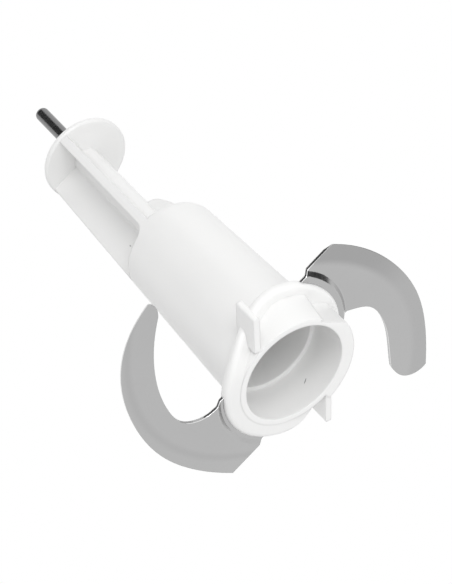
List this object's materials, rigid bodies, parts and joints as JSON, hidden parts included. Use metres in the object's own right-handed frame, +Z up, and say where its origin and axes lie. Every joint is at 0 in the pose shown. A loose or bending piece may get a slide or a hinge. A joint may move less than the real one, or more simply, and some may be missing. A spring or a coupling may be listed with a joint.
{
  "type": "food processor blade",
  "caption": "Chopping blade for a food processor: two sickle steel blades on a tapering white hub with a drive socket below and a steel spindle pin on top.",
  "frame": {"origin": "on the shaft axis in the plane of the socket rim", "axes": "+Z up the shaft from the socket rim to the pin; +X towards the root of the high blade, -X towards the root of the low blade"},
  "size_m": [0.0878, 0.1341, 0.16],
  "materials": {
    "white_plastic": "semi-gloss",
    "blade_steel": "satin",
    "pin_steel": "polished"
  },
  "bodies": {
    "root": {"hub": "white_plastic", "low_blade": "blade_steel", "high_blade": "blade_steel", "spindle_pin": "pin_steel"}
  },
  "joints": []
}
